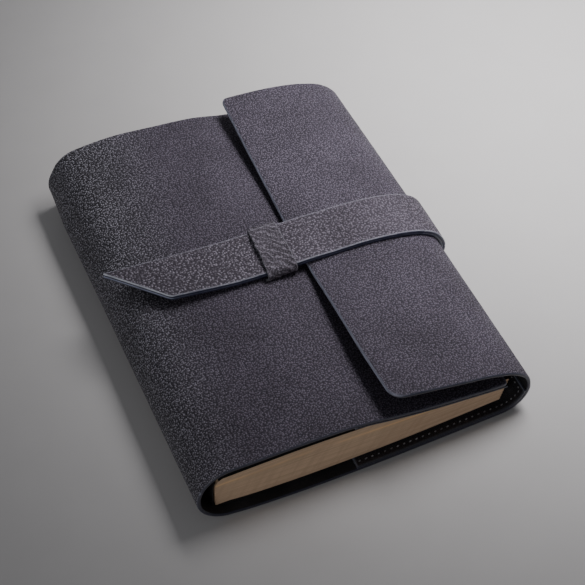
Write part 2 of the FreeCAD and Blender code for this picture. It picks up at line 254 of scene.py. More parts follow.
def cut_sheet(start, end, low, high, thickness, edge_r, step=1.5 * mm,
              corners=(0, 0, 0, 0), seams=(), shape=None):
    """A flat sheet from start to end along s and low to high along w, face up at z 0.

    corners are the radii at (start, low), (start, high), (end, low), (end, high). Its edges
    are rounded, but for the ends named in seams, where the next length runs on. shape may
    move the sheet's places before it gets its thickness. The attributes say how near a place
    is to the upper corner of the edge (arris), whether it is beside an edge (border), and
    whether that edge is an end or a long side (endwise).
    """
    def on_seam(*verts):
        return any(all(abs(v.co.x - end_s) < 1e-6 for v in verts) for end_s in seams)

    bm = bmesh.new()
    bmesh.ops.create_grid(bm, x_segments=max(1, round((end - start) / step)),
                          y_segments=max(1, round((high - low) / step)), size=0.5)
    bmesh.ops.scale(bm, vec=(end - start, high - low, 1), verts=bm.verts)
    bmesh.ops.translate(bm, vec=((start + end) / 2, (low + high) / 2, 0), verts=bm.verts)
    places = [(start, low, -1, -1), (start, high, -1, 1), (end, low, 1, -1), (end, high, 1, 1)]
    for (s, w, way_s, way_w), radius in zip(places, corners):
        for v in bm.verts if radius else ():
            out_s = (v.co.x - s) * way_s + radius
            out_w = (v.co.y - w) * way_w + radius
            if out_s > 0 and out_w > 0:
                onto_arc = max(out_s, out_w) / math.hypot(out_s, out_w)
                v.co.x = s + (out_s * onto_arc - radius) * way_s
                v.co.y = w + (out_w * onto_arc - radius) * way_w
    if shape:
        for v in bm.verts:
            v.co.x, v.co.y = shape(v.co.x, v.co.y)
    thicken(bm, -thickness)
    bmesh.ops.recalc_face_normals(bm, faces=bm.faces)
    rim = []
    for edge in bm.edges:
        flat = abs(edge.verts[0].co.z - edge.verts[1].co.z) < edge_r
        sharp = edge.calc_face_angle(0) > 1.2
        if flat and sharp and not on_seam(*edge.verts):
            rim.append(edge)
    bmesh.ops.bevel(bm, geom=rim, offset=edge_r, offset_type='OFFSET', segments=3,
                    profile=0.5, affect='EDGES', clamp_overlap=False, material=-1)
    flat_map = bm.loops.layers.uv.new("flat")
    for face in bm.faces:
        facing = face.normal.z
        face.material_index = 0 if facing > 0.8 else 2 if facing < -0.8 else 1
        for loop in face.loops:
            loop[flat_map].uv = loop.vert.co.xy
    arris = bm.verts.layers.float.new("arris")
    border = bm.verts.layers.float.new("border")
    endwise = bm.verts.layers.float.new("endwise")
    for v in bm.verts:
        v[arris] = max(1 + 1.3 * v.co.z / thickness, 0.0)
        outward = sum((face.normal for face in v.link_faces), Vector()).xy
        v[endwise] = abs(outward.x) / outward.length if outward.length > 0.01 else 0.0
        v[border] = not on_seam(v) and any(abs(face.normal.z) < 0.99 for face in v.link_faces)
    return bm


def face_outwards(bm):
    """Turns the faces of a closed form outwards."""
    if bm.calc_volume(signed=True) < 0:
        bmesh.ops.reverse_faces(bm, faces=bm.faces)
    bm.normal_update()


def bend(bm, surface, depth=0.0):
    """Bends a flat sheet so that its face lies on a surface, or this deep inside it."""
    reach = 0.3 * mm
    for v in bm.verts:
        s, w, z = v.co
        along = surface(s + reach, w) - surface(s - reach, w)
        across = surface(s, w + reach) - surface(s, w - reach)
        inward = along.cross(across).normalized()
        sunk = depth(s, w) if callable(depth) else depth
        v.co = surface(s, w) + inward * (sunk - z)
    face_outwards(bm)


def finish_piece(name, bm, materials):
    """Makes an object of a finished mesh, smooth but for its sharp corners."""
    mesh = bpy.data.meshes.new(name)
    bm.to_mesh(mesh)
    bm.free()
    for material in materials:
        mesh.materials.append(material)
    mesh.shade_smooth()
    mesh.set_sharp_from_angle(angle=math.radians(sharp_angle))
    obj = bpy.data.objects.new(name, mesh)
    bpy.context.scene.collection.objects.link(obj)
    return obj


def bent_piece(name, bm, surface, materials, depth=0.0):
    """Bends a flat sheet to its place and makes an object of it."""
    bend(bm, surface, depth)
    return finish_piece(name, bm, materials)


def new_group(name, inputs, outputs):
    """An empty shader group, with its input and output nodes."""
    group = bpy.data.node_groups.new(name, "ShaderNodeTree")
    for label, kind, value in inputs:
        socket = group.interface.new_socket(label, in_out="INPUT", socket_type=kind)
        if value is not None:
            socket.default_value = value
    for label, kind in outputs:
        group.interface.new_socket(label, in_out="OUTPUT", socket_type=kind)
    return group, group.nodes.new("NodeGroupInput"), group.nodes.new("NodeGroupOutput")


def feed(tree, socket, value):
    """Gives a socket another one's output, or a plain value."""
    if isinstance(value, bpy.types.NodeSocket):
        tree.links.new(value, socket)
    else:
        socket.default_value = value


def math_node(tree, operation, a, b):
    """A Math node on two sockets or numbers. Gives its output socket."""
    node = tree.nodes.new("ShaderNodeMath")
    node.operation = operation
    feed(tree, node.inputs[0], a)
    feed(tree, node.inputs[1], b)
    return node.outputs[0]


def times(tree, a, b):
    return math_node(tree, "MULTIPLY", a, b)


def plus(tree, a, b):
    return math_node(tree, "ADD", a, b)


def attribute(tree, name):
    """A value that the mesh carries at each of its places."""
    node = tree.nodes.new("ShaderNodeAttribute")
    node.attribute_name = name
    return node.outputs["Fac"]


def object_place(tree):
    return tree.nodes.new("ShaderNodeTexCoord").outputs["Object"]


def map_place(tree, name):
    """Places on a piece's own map."""
    node = tree.nodes.new("ShaderNodeUVMap")
    node.uv_map = name
    return node.outputs["UV"]


def mix_colour(tree, factor, a, b):
    """Mixes two colours by a factor. Each may be a socket or a plain value."""
    node = tree.nodes.new("ShaderNodeMix")
    node.data_type = "RGBA"
    for socket, value in zip((0, 6, 7), (factor, a, b)):
        feed(tree, node.inputs[socket], value)
    return node.outputs[2]


def ramp(tree, value, low, high):
    """Spreads the stretch from low to high of a value over 0 to 1, eased."""
    node = tree.nodes.new("ShaderNodeMapRange")
    node.interpolation_type = "SMOOTHSTEP"
    node.inputs["From Min"].default_value = low
    node.inputs["From Max"].default_value = high
    tree.links.new(value, node.inputs["Value"])
    return node.outputs["Result"]


def noise_node(tree, place, scale, detail=2.0, roughness=0.5):
    """A Noise node. Its scale may be a socket or a number."""
    node = tree.nodes.new("ShaderNodeTexNoise")
    node.inputs["Detail"].default_value = detail
    node.inputs["Roughness"].default_value = roughness
    tree.links.new(place, node.inputs["Vector"])
    feed(tree, node.inputs["Scale"], scale)
    return node


def warped(tree, place, scale, reach):
    """Moves a pattern's places about by a noise of a scale, as far as reach."""
    drift = noise_node(tree, place, scale, 1.0)
    centred = tree.nodes.new("ShaderNodeVectorMath")
    centred.operation = "SUBTRACT"
    centred.inputs[1].default_value = (0.5, 0.5, 0.5)
    tree.links.new(drift.outputs["Color"], centred.inputs[0])
    shifted = tree.nodes.new("ShaderNodeVectorMath")
    shifted.operation = "MULTIPLY_ADD"
    tree.links.new(centred.outputs[0], shifted.inputs[0])
    tree.links.new(reach, shifted.inputs[1])
    tree.links.new(place, shifted.inputs[2])
    return shifted.outputs[0]


def make_pebble_group():
    """Leather grain: uneven pebbles with creases between them, in patches coarse and fine."""
    group, given, result = new_group(
        "pebble grain",
        [("Place", "NodeSocketVector", None), ("Pebble Size", "NodeSocketFloat", 1.0 * mm),
         ("Wander", "NodeSocketFloat", 0.4 * mm)],
        [("Height", "NodeSocketFloat"), ("Tops", "NodeSocketFloat"),
         ("Patches", "NodeSocketFloat"), ("Painted Glints", "NodeSocketFloat")])
    place, size, wander = given.outputs[0], given.outputs[1], given.outputs[2]
    per_metre = math_node(group, "DIVIDE", 1.0, size)
    shifted = warped(group, place, times(group, per_metre, 0.4), wander)
    shifted = warped(group, shifted, times(group, per_metre, 1.3), wander)
    rounded, chance = [], []
    for share in (1.0, 2.1):
        cell = group.nodes.new("ShaderNodeTexVoronoi")
        cell.voronoi_dimensions = "2D"
        group.links.new(shifted, cell.inputs["Vector"])
        group.links.new(times(group, per_metre, share), cell.inputs["Scale"])
        rounded.append(ramp(group, math_node(group, "SUBTRACT", 1.0, cell.outputs["Distance"]),
                            0.25, 0.95))
        split = group.nodes.new("ShaderNodeSeparateColor")
        group.links.new(cell.outputs["Color"], split.inputs[0])
        chance.append(split.outputs[0])
    patches = ramp(group, noise_node(group, place, 30.0, 4.0, 0.6).outputs["Fac"], 0.30, 0.70)
    fine = noise_node(group, place, times(group, per_metre, 3.2), 2.0).outputs["Fac"]
    height = plus(group, times(group, rounded[0], 0.7), times(group, rounded[1], 0.25))
    height = plus(group, height, times(group, fine, 0.2))
    # paler pebble tops: partly a dry-brush finish, partly painted highlight where they catch light
    tops = []
    for bulk, luck, share in zip(rounded, chance, (1.0, 0.4)):
        caught = plus(group, times(group, luck, 0.75 * share), 0.38 * share)
        tops.append(times(group, ramp(group, bulk, 0.35, 0.95), caught))
    caught_tops = plus(group, *tops)
    # painted glints: a few pebble tops made much paler
    painted_glints = times(group, ramp(group, chance[0], 0.30, 0.90),
                   ramp(group, rounded[0], 0.50, 0.95))
    for value, socket in zip((height, caught_tops, patches, painted_glints), result.inputs):
        group.links.new(value, socket)
    return group


pebble_grain = make_pebble_group()


def new_material(name, roughness):
    """A node material. Gives the material, its tree and its Principled shader."""
    material = bpy.data.materials.new(name)
    material.use_nodes = True
    tree = material.node_tree
    shader = tree.nodes["Principled BSDF"]
    shader.inputs["Roughness"].default_value = roughness
    return material, tree, shader


def bump(tree, shader, height, depth):
    """Raises a surface by a height in metres at most."""
    node = tree.nodes.new("ShaderNodeBump")
    node.inputs["Distance"].default_value = depth
    tree.links.new(height, node.inputs["Height"])
    tree.links.new(node.outputs["Normal"], shader.inputs["Normal"])


def grain_leather(name, hollow, mid, top, pebble, depth, rub_and_highlight=None,
                  burnish_and_highlight=(0.20, 0.225, 0.285, 1), sides=0.3, creases=None):
    """Pebbled leather: dark between the pebbles, paler on the pebble tops, partly a dry-brush
    finish and partly painted highlight where the tops catch light.

    rubbed gives darker creases and paler pebbles with painted glints, where along the piece
    they start and are full, and where they fade and end. Towards the head they start sooner.
    burnish is the colour of the smooth border beside the free ends, partly burnished leather
    and partly painted highlight, and sides is how much of it the long sides get. creases gives
    the wrinkles' scale, distortion, detail and detail scale; their ridges are painted paler, a
    painted highlight.
    """
    roughness = 0.62
    material, tree, shader = new_material(name, roughness)
    shader.inputs["Specular Tint"].default_value = (1.0, 0.94, 1.0, 1)
    flat = map_place(tree, "flat")
    grain = tree.nodes.new("ShaderNodeGroup")
    grain.node_tree = pebble_grain
    grain.inputs["Pebble Size"].default_value = pebble
    grain.inputs["Wander"].default_value = pebble * 0.4
    tree.links.new(flat, grain.inputs["Place"])
    height, tops, patches, painted_glints = (
        grain.outputs[label] for label in ("Height", "Tops", "Patches", "Painted Glints"))
    patched = mix_colour(tree, patches, hollow, mid)
    # painted highlight, in part: how much paler each pebble top is
    brushed_and_lit = times(tree, tops, plus(tree, times(tree, patches, 0.3), 0.7))
    if creases:
        wrinkle = tree.nodes.new("ShaderNodeTexWave")
        wrinkle.bands_direction = "DIAGONAL"
        for socket, value in zip(("Scale", "Distortion", "Detail", "Detail Scale"), creases):
            wrinkle.inputs[socket].default_value = value
        tree.links.new(flat, wrinkle.inputs["Vector"])
        ridge = times(tree, ramp(tree, wrinkle.outputs["Fac"], 0.45, 0.95),
                      plus(tree, times(tree, height, 0.9), 0.2))
        height = plus(tree, times(tree, height, 0.5), ridge)
        # painted highlight: the wrinkles' ridges are paler
        brushed_and_lit = plus(tree, times(tree, brushed_and_lit, 0.4), times(tree, ridge, 0.66))
    if rub_and_highlight:
        darker, paler, start, full, fading, end = rub_and_highlight
        split = tree.nodes.new("ShaderNodeSeparateXYZ")
        tree.links.new(flat, split.inputs[0])
        along = plus(tree, split.outputs["X"], times(tree, split.outputs["Y"], 0.14))
        worn_and_lit = times(tree, ramp(tree, along, start, full),
                     ramp(tree, split.outputs["X"], end, fading))
        top = mix_colour(tree, worn_and_lit, top, paler)
        patched = mix_colour(tree, worn_and_lit, patched, darker)
        dulled = math_node(tree, "SUBTRACT", 1.0, times(tree, worn_and_lit, 0.38))
        # painted glints on the pebble tops in that stretch of the piece
        brushed_and_lit = plus(tree, times(tree, brushed_and_lit, dulled),
                       times(tree, painted_glints, times(tree, worn_and_lit, 0.50)))
    # pebble tops paler than the rest: partly a dry-brush finish, partly painted highlight
    colour = mix_colour(tree, brushed_and_lit, patched, top)
    # painted highlight, in part: a pale border beside the edges, partly burnished leather, fullest at the
    # free ends
    border = attribute(tree, "border")
    smoothed_and_lit = plus(tree, times(tree, attribute(tree, "endwise"), 0.9 - sides), sides)
    colour = mix_colour(tree, times(tree, border, smoothed_and_lit), colour, burnish_and_highlight)
    tree.links.new(colour, shader.inputs["Base Color"])
    tree.links.new(plus(tree, times(tree, tops, -0.2), roughness + 0.08),
                   shader.inputs["Roughness"])
    bump(tree, shader, height, depth)
    return material


def painted_edge(name, colour, worn_and_lit, sides):
    """Edge paint, burnished: glossy navy, paler along its upper corner, partly from wear and
    partly painted highlight.

    The free ends get the most of it, a painted highlight where they face the light, and the long
    sides only this share as much.
    """
    material, tree, shader = new_material(name, 0.34)
    shader.inputs["Coat Weight"].default_value = 0.35
    shader.inputs["Coat Roughness"].default_value = 0.25
    at = object_place(tree)
    arris = attribute(tree, "arris")
    patchy = ramp(tree, noise_node(tree, at, 160.0, 4.0, 0.6).outputs["Fac"], 0.25, 0.62)
    endwise = attribute(tree, "endwise")
    # painted highlight, partly wear: the upper corner and the free ends are paler
    bared_and_lit = plus(tree, arris, times(tree, endwise, 0.45))
    rub_and_highlight = times(tree, ramp(tree, bared_and_lit, 0.45, 1.0), plus(tree, times(tree, patchy, 0.6), 0.4))
    rub_and_highlight = times(tree, rub_and_highlight, plus(tree, times(tree, endwise, 1 - sides), sides))
    tree.links.new(mix_colour(tree, rub_and_highlight, colour, worn_and_lit), shader.inputs["Base Color"])
    bump(tree, shader, noise_node(tree, at, 900.0, 2.0).outputs["Fac"], 0.05 * mm)
    return material


def flesh_side(name, colour, nap):
    """The dyed inner side of the leather: matt, with a short nap and faint fibres."""
    material, tree, shader = new_material(name, 0.85)
    at = object_place(tree)
    fibres = noise_node(tree, at, 1400.0, 3.0, 0.65).outputs["Fac"]
    clouds = noise_node(tree, at, 60.0, 3.0, 0.6).outputs["Fac"]
    tufts = ramp(tree, times(tree, fibres, clouds), 0.12, 0.42)
    tree.links.new(mix_colour(tree, tufts, colour, nap), shader.inputs["Base Color"])
    bump(tree, shader, fibres, 0.12 * mm)
    return material


# Towards the spine the hide's creases are darker, its pebble tops paler, with painted glints.
hide_grain = grain_leather("hide grain", (0.020, 0.0165, 0.026, 1), (0.033, 0.0275, 0.042, 1),
                           (0.205, 0.180, 0.235, 1), 1.0 * mm, 0.30 * mm,
                           rub_and_highlight=((0.009, 0.0085, 0.012, 1), (0.44, 0.43, 0.49, 1),
                                   s_at(spine_x + 50 * mm, 0), middle_of_spine - 8 * mm,
                                   middle_of_spine, middle_of_back),
                           burnish_and_highlight=(0.17, 0.185, 0.235, 1), sides=0.05)
edge_paint = painted_edge("navy edge paint", (0.015, 0.016, 0.036, 1), (0.38, 0.395, 0.50, 1),
                          0.18)
inner_leather = flesh_side("black flesh side", (0.006, 0.006, 0.008, 1), (0.022, 0.021, 0.025, 1))
hide_finish = [hide_grain, edge_paint, inner_leather]

# the front and spine lengths meet above the spine's slack, at this share of its turn
seam_share = 0.355
spine_seam = hide_marks[1] + seam_share * (hide_marks[2] - hide_marks[1])
# each length: start, end, seams, corners, radius of its edges, the two bodies that it bends
# between, where that bend starts and ends, and the nodes that it stands for
hide_lengths = {
    "hide_front": (0.0, spine_seam, (spine_seam,), (2 * mm, 2 * mm, 0, 0), 0.6 * mm,
                   ("spine", "front_cover"), Vector((spine_x + 1.6 * mm, 0, 24.9 * mm)),
                   spine_centre + Vector((0, 0, spine_r)), ("front_panel",)),
    "hide_spine": (spine_seam, middle_of_back, (spine_seam, middle_of_back), (0,) * 4,
                   0.6 * mm, ("back_cover", "spine"), Vector((spine_x, 0, 0)),
                   Vector((spine_x, 0, 23.0 * mm)), ("spine",)),
    "hide_back": (middle_of_back, hide_marks[4], (middle_of_back, hide_marks[4]), (0,) * 4,
                  0.6 * mm, ("back_cover", "fore_edge"), fold_bottom, fold_side,
                  ("back_panel",)),
    "hide_flap": (hide_marks[4], hide_marks[5], (hide_marks[4],), (0, 0, 7 * mm, 4 * mm),
                  0.85 * mm, ("fore_edge", "flap"), fold_side, fold_top,
                  ("fore_edge", "flap"))}
for name, length in hide_lengths.items():
    start, end, seams, corners, edge_r, bodies, bend_start, bend_end, nodes = length
    sheet = cut_sheet(start, end, tail_y, head_y, hide_t, edge_r=edge_r, corners=corners,
                      seams=seams)
    piece = bent_piece(name, sheet, on_hide, hide_finish)
    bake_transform(piece, *bodies, start=bend_start, end=bend_end)
    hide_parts(*nodes)

# ---------- inner pockets
# A thinner panel of the same leather is sewn down on three sides inside each cover, open
# towards the spine, and the notebook's card covers slide into them. The back one runs on up
# into the fold. Their seams are sewn in pale waxed thread, 3 mm in from the edge.
pocket_t = 0.9 * mm
card_room = 1.1 * mm
hem = 4.6 * mm
stitch_in = 3.0 * mm
stitch_pitch = 3.25 * mm
stitch_lean = 0.3              # radians that each stitch leans from the run
thread_w, thread_t = 0.7 * mm, 0.6 * mm
fold_overlap = 12              # the back pocket ends this many degrees short of the flap
mouth_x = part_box("back_pocket")[0].x


def pocket_depth(closed_end, way):
    """Depth of a pocket's upper face: down on the hide along the hems, up over the card."""
    def depth(s, w):
        from_hem = min(w - tail_y, head_y - w, (closed_end - s) * way) - hem
        return hide_t + pocket_t + 0.05 * mm + card_room * ease(from_hem / (6 * mm))
    return depth


def sew(name, surface, depth, corners, thread):
    """A row of stitches along straight runs between corners given as (s, w)."""
    bm = bmesh.new()
    for (s0, w0), (s1, w1) in zip(corners, corners[1:]):
        run = math.hypot(s1 - s0, w1 - w0)
        count = max(1, round(run / stitch_pitch))
        for i in range(count):
            share = (i + 0.5) / count
            s, w = s0 + (s1 - s0) * share, w0 + (w1 - w0) * share
            ahead = 0.3 * mm / run
            place = surface(s, w)
            along = surface(s + (s1 - s0) * ahead, w + (w1 - w0) * ahead) - place
            side = surface(s + mm, w) - surface(s - mm, w)
            inward = side.cross(surface(s, w + mm) - surface(s, w - mm)).normalized()
            along = along.normalized()
            turn = Matrix((along, inward.cross(along), inward)).transposed().to_4x4()
            stitch = bmesh.ops.create_uvsphere(bm, u_segments=8, v_segments=6, radius=0.5)
            long = (1.3 + 0.5 * noise.noise(Vector((s, w, 5)) * 900)) * mm
            scale = Matrix.Diagonal((long, thread_w, thread_t, 1))
            place = place + inward * (depth(s, w) + 0.05 * mm)
            lean = Matrix.Rotation(stitch_lean, 4, "Z")
            bmesh.ops.transform(bm, matrix=Matrix.Translation(place) @ turn @ lean @ scale,
                                verts=stitch["verts"])
    return finish_piece(name, bm, [thread])


waxed_thread, tree, shader = new_material("waxed thread", 0.45)
at = object_place(tree)
twist = tree.nodes.new("ShaderNodeTexWave")
twist.bands_direction = "DIAGONAL"
twist.inputs["Scale"].default_value = 900.0
tree.links.new(at, twist.inputs["Vector"])
soiled = ramp(tree, noise_node(tree, at, 500.0, 1.0).outputs["Fac"], 0.35, 0.65)
tree.links.new(mix_colour(tree, times(tree, twist.outputs["Fac"], soiled),
                          (0.16, 0.16, 0.18, 1), (0.75, 0.75, 0.80, 1)),
               shader.inputs["Base Color"])
bump(tree, shader, twist.outputs["Fac"], 0.05 * mm)

pocket_grain = grain_leather("pocket leather", (0.006, 0.006, 0.008, 1),
                             (0.011, 0.010, 0.013, 1), (0.035, 0.034, 0.040, 1),
                             0.8 * mm, 0.1 * mm)
pocket_finish = [inner_leather, edge_paint, pocket_grain]

front_mouth = s_at(mouth_x, 0)
back_end = hide_marks[4] - math.radians(fold_overlap) * fold_r
# side, its mouth, its closed end, and which way along the hide it closes
for side, mouth, closed, way in (("back", s_at(mouth_x, 2), back_end, 1),
                                 ("front", front_mouth, 0.0, -1)):
    depth = pocket_depth(closed, way)
    sheet = cut_sheet(min(mouth, closed), max(mouth, closed), tail_y, head_y, pocket_t,
                      edge_r=0.25 * mm)
    panel = bent_piece(f"{side}_pocket_panel", sheet, on_hide, pocket_finish,
                       lambda s, w: depth(s, w) - pocket_t)
    first_s, last_s = mouth + mm * way, closed - stitch_in * way
    low_w, high_w = tail_y + stitch_in, head_y - stitch_in
    seam = sew(f"{side}_pocket_seam", on_hide, depth,
               [(first_s, low_w), (last_s, low_w), (last_s, high_w), (first_s, high_w)],
               waxed_thread)
    for piece in (panel, seam):
        if side == "back":
            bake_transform(piece, "back_cover", "fore_edge", start=fold_bottom, end=fold_side)
        else:
            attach(piece, "front_cover")
    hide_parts(f"{side}_pocket")

# ---------- strap
# Two plies of firmer, coarser-grained leather are glued back to back. The strap is sewn on
# low down outside the fold, goes over the flap and through the keeper, and its tongue is cut
# on a slant and stands a little off the front panel. Each ply's edge is painted and burnished;
# the outer ply's paint is pale, a painted highlight, and the lining ply's darker, painted
# shade, though both plies share one paint.
strap_w = 28.0 * mm
ply_t = 1.45 * mm
strap_t = 2 * ply_t + 0.05 * mm
strap_gap = 0.4 * mm
tip_slant = 26.0 * mm
tip_run = 60 * mm              # the slant draws in this much of the strap's far end
tip_lift = 5.3 * mm            # the tongue's end stands this much above its run, and its
tip_twist = 1.7 * mm           # tail corner this much more
strap_z = 39.2 * mm
root_turn = 50                 # sewn on this many degrees below the fold's outermost line


@lru_cache(maxsize=None)
def strap_lines(w):
    """The strap's upper face at one place across it, as a line from its root to its tip."""
    out = strap_gap + strap_t
    low = arc_line(fold_centre, fold_r + out, -root_turn, 0, 10)
    over = []
    for i in range(1, 8):
        s = hide_marks[4] + i * 9.4 * mm
        along = on_hide(s + mm, 0.0) - on_hide(s - mm, 0.0)
        over.append(on_hide(s, 0.0) + Vector((along.z, 0, -along.x)).normalized() * out)
    lift = tip_lift + tip_twist * (1 - (w / strap_w + 0.5))
    run = section((99, 39.25), (89, 39.2), (75, 39.2))
    tongue = [run[-1] + Vector((-x * mm, 0, lift * (x / 75) ** 1.4)) for x in (25, 50, 75.2)]
    return measured(smooth_line(low[::5] + over + run + tongue, steps=8))


strap_length = strap_lines(0.0)[1][-1]


def on_strap(s, w):
    """The strap's upper face, a little wavy, and crowned across."""
    place = walk(strap_lines(round(w, 5)), s / strap_length)
    wave = noise.noise(Vector((s * 40, w * 30, 4))) * 0.25 * mm
    crown = -0.25 * mm * (2 * w / strap_w) ** 2
    free = ease((s - strap_length + 95 * mm) / (60 * mm))
    return Vector((place.x, w - 0.25 * mm * free, place.z + wave * free + crown))


def slant_tip(s, w):
    """Draws the strap's far end in to a slanting cut, which leaves its head side longer."""
    low_side = 0.5 - w / strap_w
    share = max(s - (strap_length - tip_run), 0) / tip_run
    return s - share * tip_slant * low_side, w + share * 1.7 * mm * low_side


# Along the tongue the pebble tops are paler, with glints: partly wear, partly painted sheen.
strap_grain = grain_leather("strap grain", (0.026, 0.021, 0.030, 1), (0.052, 0.044, 0.060, 1),
                            (0.232, 0.207, 0.260, 1), 1.25 * mm, 0.36 * mm,
                            rub_and_highlight=((0.040, 0.033, 0.046, 1), (0.355, 0.325, 0.390, 1),
                                    strap_length - 130 * mm, strap_length - 60 * mm,
                                    strap_length + 60 * mm, strap_length + 90 * mm),
                            burnish_and_highlight=(0.42, 0.42, 0.49, 1), sides=0.5)
# one paint on both plies: paler on the outer ply, painted highlight; darker on the lining, painted shade
strap_edge_highlit = painted_edge("navy strap edge highlit", (0.028, 0.032, 0.082, 1),
                          (0.88, 0.92, 1.0, 1), 0.35)
lining_edge_shaded = painted_edge("navy lining edge shaded", (0.018, 0.022, 0.055, 1),
                           (0.50, 0.54, 0.74, 1), 0.3)
strap_back = grain_leather("strap lining", (0.012, 0.012, 0.015, 1), (0.022, 0.020, 0.026, 1),
                           (0.060, 0.058, 0.066, 1), 1.2 * mm, 0.2 * mm)
strap_finish = {"strap_outer": (0.0, [strap_grain, strap_edge_highlit, inner_leather]),
                "strap_lining": (ply_t + 0.05 * mm, [inner_leather, lining_edge_shaded, strap_back])}
bend_s = math.radians(root_turn) * (fold_r + strap_gap + strap_t)
band_s = bend_s + 21 * mm
# each ply is made in three lengths: start, end, seams, corners and cut of each
stretches = {"root": (0.0, bend_s, (bend_s,), (0,) * 4, None),
             "bend": (bend_s, band_s, (bend_s, band_s), (0,) * 4, None),
             "band": (band_s, strap_length, (band_s,), (0, 0, 2.0 * mm, 0.8 * mm), slant_tip)}
for ply, (depth, finish) in strap_finish.items():
    made = []
    for part, (start, end, seams, corners, shape) in stretches.items():
        sheet = cut_sheet(start, end, -strap_w / 2, strap_w / 2, ply_t, step=1.0 * mm,
                          edge_r=0.42 * mm, corners=corners, seams=seams, shape=shape)
        made.append(bent_piece(f"{ply}_{part}", sheet, on_strap, finish, depth))
    root, bent, band = made
    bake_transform(root, "back_cover", "fore_edge", start=fold_bottom, end=fold_side)
    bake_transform(bent, "fore_edge", "flap", start=fold_side, end=fold_top)
    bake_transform(band, "flap", "strap", start=on_strap(band_s + 2 * mm, 0),
             end=Vector((spine_x + 100 * mm, 0, strap_z)))
    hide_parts(ply)

# ---------- keeper
# A soft strip of thin leather bent over the strap, its two ends let into slits in the front
# panel and glued. It has no paint on its edges, and years of folding have wrinkled it. The
# ridges of its wrinkles, the pale border along its right side and a pale line along its crest
# are painted highlight; on its shaded left side the border is left faint.
keeper_low, keeper_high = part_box("keeper")
keeper_t = 1.4 * mm
keeper_w = keeper_high.x - keeper_low.x
keeper_half = (keeper_high.y - keeper_low.y) / 2
keeper_middle = (keeper_low.x + keeper_high.x) / 2
keeper_leg = 8.5 * mm          # from its top down to the ends of its legs
crest_in = 10.2 * mm           # a pale line, painted highlight, runs along its crest this far from the head end


@lru_cache(maxsize=None)
def keeper_line():
    """The keeper's outer face along its middle, from the tail side over to the head side."""
    top = keeper_high.z + 0.1 * mm
    foot = top - keeper_leg
    ways = [math.radians(a) for a in range(0, 91, 15)]
    tail_turn, head_turn = ([Vector((0, keeper_half - turn + turn * math.cos(t),
                                     top - turn + turn * math.sin(t))) for t in ways]
                            for turn in (3.8 * mm, 2.2 * mm))
    tail_turn = [Vector((0, -v.y, v.z)) for v in tail_turn]
    head_turn.reverse()
    return measured(smooth_line([Vector((0, -keeper_half + 2.8 * mm, foot))] + tail_turn +
                                head_turn + [Vector((0, keeper_half - 0.2 * mm, foot))], steps=6))


keeper_length = keeper_line()[1][-1]


def on_keeper(s, w):
    """The keeper bent over the strap, wider at the tail side, crumpled and wavy at its edges."""
    share = s / keeper_length
    side = 2 * w / keeper_w
    place = walk(keeper_line(), share)
    ragged = noise.noise(Vector((s * 260, round(side), 3))) + 0.6 * noise.noise(
        Vector((s * 800, 0, 8)))
    flare = 2.0 * mm * (1 - share) * min(side, 0) + (0.55 - 0.3 * side) * mm * side ** 3 * ragged
    at_head = ease((share - 0.62) / 0.2) * (0.5 - 0.5 * side)
    at_tail = ease((0.38 - share) / 0.2)
    fold = noise.noise(Vector((s * 480 + w * 110, w * 90, 2))) * 0.20 * mm
    fold += noise.noise(Vector((s * 150, w * 110, 7))) * 0.22 * mm
    fold += noise.noise(Vector((s * 600, w * 420, 5))) * 0.45 * mm * at_tail
    fold += 0.30 * mm * ease(-side) * math.sin(math.pi * min(max(share, 0), 1))
    y = place.y - 0.5 * mm * at_tail + 0.3 * mm * side * at_tail
    sunk = 0.7 * mm * side ** 4 * (at_head + 0.5 * at_tail)
    return Vector((keeper_middle + w + flare, y, place.z + fold - sunk))


keeper_sheet = cut_sheet(0.0, keeper_length, -keeper_w / 2, keeper_w / 2, keeper_t,
                         step=0.6 * mm, edge_r=0.4 * mm)
keeper_border = keeper_sheet.verts.layers.float["border"]
# painted highlight: the pale border is left faint on the keeper's shaded left side and made full along its
# crest
for v in keeper_sheet.verts:
    if v.co.y < -0.2 * keeper_w:
        v[keeper_border] *= 0.2
    if abs(v.co.x - keeper_length + crest_in) < 0.45 * mm:
        v[keeper_border] = 1.0
keeper_leather = grain_leather("keeper leather", (0.022, 0.018, 0.026, 1),
                               (0.056, 0.048, 0.062, 1), (0.410, 0.375, 0.450, 1), 0.9 * mm,
                               0.60 * mm, burnish_and_highlight=(0.34, 0.33, 0.38, 1), sides=0.6,
                               creases=(150.0, 7.0, 2.0, 1.3))
raw_edge = flesh_side("keeper's cut edge", (0.10, 0.10, 0.115, 1), (0.20, 0.20, 0.225, 1))
keeper = bent_piece("keeper_loop", keeper_sheet, on_keeper,
                    [keeper_leather, raw_edge, inner_leather])
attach(keeper, "front_cover")
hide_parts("keeper")

# ---------- notebook's covers
# The notebook is an A5 book sewn in eight sections. Its card covers and the strip down its
# spine are covered in black book cloth. The back card lies under the leaves, and the front
# one leaves the sewn edge and runs on into the front pocket.
card_t = 0.7 * mm
card_slack = 0.15 * mm         # between the front card and the leather
page_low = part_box("page_section_1")[0]
page_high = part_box("page_section_8")[1]
sewn_x, fore_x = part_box("page_section_8")[0].x, page_high.x
sewn_z = 24.0 * mm             # the uppermost leaf beside the sewn edge


